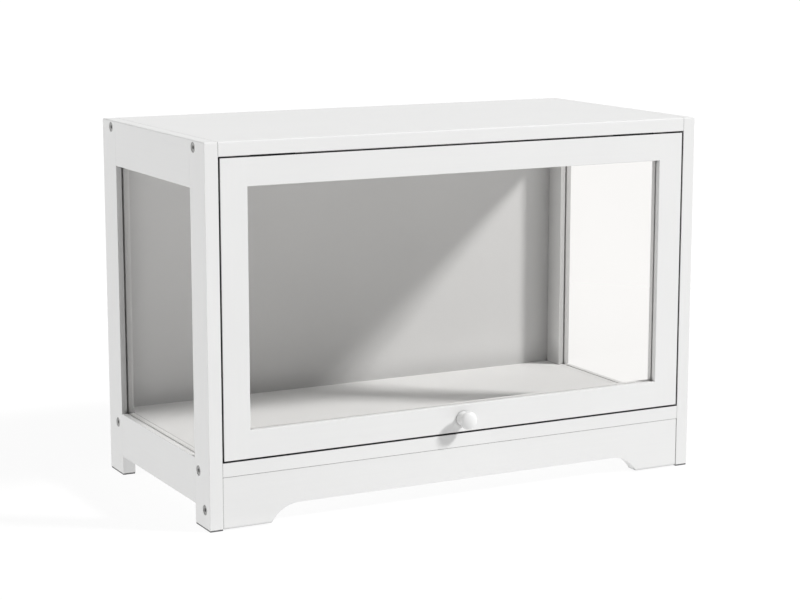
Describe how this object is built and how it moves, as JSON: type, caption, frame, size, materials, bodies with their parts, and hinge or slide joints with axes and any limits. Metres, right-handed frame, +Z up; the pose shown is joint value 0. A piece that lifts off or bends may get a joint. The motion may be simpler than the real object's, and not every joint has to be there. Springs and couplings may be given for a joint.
{
  "type": "acrylic display case",
  "caption": "White board-framed display case with clear acrylic sides, a back panel and an acrylic door that flips up at the front on hidden stays.",
  "frame": {"origin": "under the middle of the whole object, knob included, on the surface that the case stands on", "axes": "+X to the right seen from the front, +Y to the back panel, +Z up"},
  "size_m": [0.6, 0.3186, 0.4065],
  "materials": {
    "board_paint": "satin white paint on board",
    "door_paint": "satin white paint on board",
    "back_sheet": "white-faced thin board",
    "acrylic": "clear polished acrylic",
    "knob_paint": "satin white paint on turned wood",
    "dowel_wood": "plain beech",
    "screw_steel": "dark zinc-plated steel",
    "hinge_steel": "dark plated steel",
    "stay_steel": "zinc-plated steel",
    "catch_plastic": "moulded white plastic",
    "magnet": "sintered dark grey",
    "foot_pad": "dark grey felted rubber"
  },
  "bodies": {
    "case": {"left_front_post": "board_paint", "left_rear_post": "board_paint", "left_upper_rail": "board_paint", "left_lower_rail": "board_paint", "left_side_pane": "acrylic", "left_rail_dowels": "dowel_wood", "left_side_screws": "screw_steel", "left_front_foot_pad": "foot_pad", "left_rear_foot_pad": "foot_pad", "left_hinge_case_leaf": "hinge_steel", "left_hinge_pin": "hinge_steel", "left_stay_plate": "stay_steel", "right_front_post": "board_paint", "right_rear_post": "board_paint", "right_upper_rail": "board_paint", "right_lower_rail": "board_paint", "right_side_pane": "acrylic", "right_rail_dowels": "dowel_wood", "right_side_screws": "screw_steel", "right_front_foot_pad": "foot_pad", "right_rear_foot_pad": "foot_pad", "right_hinge_case_leaf": "hinge_steel", "right_hinge_pin": "hinge_steel", "right_stay_plate": "stay_steel", "top_board": "board_paint", "bottom_shelf": "board_paint", "front_apron": "board_paint", "back_panel": "back_sheet", "board_dowels": "dowel_wood", "hinge_case_screws": "hinge_steel", "catch_housing": "catch_plastic", "catch_magnet": "magnet", "catch_pole_plates": "stay_steel", "catch_screws": "screw_steel", "stay_case_rivets": "stay_steel", "stay_plate_screws": "screw_steel"},
    "door": {"left_door_stile": "door_paint", "right_door_stile": "door_paint", "door_top_rail": "door_paint", "door_bottom_rail": "door_paint", "door_pane": "acrylic", "door_dowels": "dowel_wood", "door_knob": "knob_paint", "knob_screw": "screw_steel", "left_hinge_door_leaf": "hinge_steel", "right_hinge_door_leaf": "hinge_steel", "hinge_door_screws": "hinge_steel", "strike_plate": "stay_steel", "strike_screws": "screw_steel", "left_stay_door_bracket": "stay_steel", "right_stay_door_bracket": "stay_steel", "stay_door_rivets": "stay_steel", "stay_bracket_screws": "screw_steel"},
    "left_long_arm": {"left_stay_long_arm": "stay_steel", "left_stay_elbow_rivet": "stay_steel"},
    "left_short_arm": {"left_stay_short_arm": "stay_steel"},
    "right_long_arm": {"right_stay_long_arm": "stay_steel", "right_stay_elbow_rivet": "stay_steel"},
    "right_short_arm": {"right_stay_short_arm": "stay_steel"}
  },
  "joints": [
    {"name": "door_hinge", "type": "hinge", "parent": "case", "child": "door", "pos_m": [0, -0.13975, 0.3905], "axis": [-1, 0, 0], "range_deg": [0, 90]},
    {"name": "left_stay_case_pivot", "type": "hinge", "parent": "case", "child": "left_long_arm", "pos_m": [-0.28275, -0.11945, 0.372], "axis": [-1, 0, 0], "range_deg": [0, 90]},
    {"name": "left_stay_elbow", "type": "hinge", "parent": "left_long_arm", "child": "left_short_arm", "pos_m": [-0.28095, -0.10115, 0.2815], "axis": [1, 0, 0], "range_deg": [0, 90]},
    {"name": "right_stay_case_pivot", "type": "hinge", "parent": "case", "child": "right_long_arm", "pos_m": [0.28275, -0.11945, 0.372], "axis": [-1, 0, 0], "range_deg": [0, 90]},
    {"name": "right_stay_elbow", "type": "hinge", "parent": "right_long_arm", "child": "right_short_arm", "pos_m": [0.28095, -0.10115, 0.2815], "axis": [1, 0, 0], "range_deg": [0, 90]}
  ],
  "couplings": [
    {"joint": "left_stay_case_pivot", "follows": "door_hinge", "ratio": 1},
    {"joint": "left_stay_elbow", "follows": "door_hinge", "ratio": 1},
    {"joint": "right_stay_case_pivot", "follows": "door_hinge", "ratio": 1},
    {"joint": "right_stay_elbow", "follows": "door_hinge", "ratio": 1}
  ]
}
